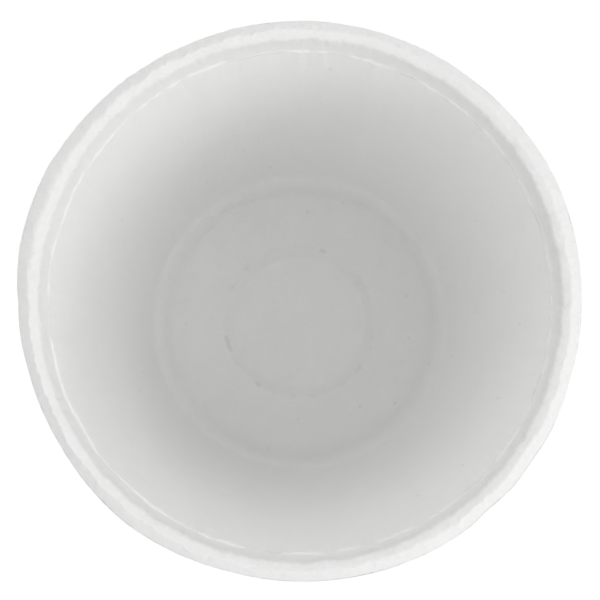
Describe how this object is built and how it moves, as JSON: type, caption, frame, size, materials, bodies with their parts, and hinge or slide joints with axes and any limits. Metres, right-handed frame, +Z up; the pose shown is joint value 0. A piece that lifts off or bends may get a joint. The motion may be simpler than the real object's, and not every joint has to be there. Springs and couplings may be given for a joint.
{
  "type": "moulded fibre coffee cup",
  "caption": "Open tapered drinking cup of moulded sugarcane fibre, with a turned-over rim, a stacking ledge and a raised disc in its floor.",
  "frame": {"origin": "centre of the standing face, on the cup's axis", "axes": "+Z up along the cup's axis, towards the open mouth; X and Y are any two directions across it"},
  "size_m": [0.08, 0.08, 0.09],
  "materials": {
    "moulded_fibre": "matte"
  },
  "bodies": {
    "root": {"cup": "moulded_fibre"}
  },
  "joints": []
}
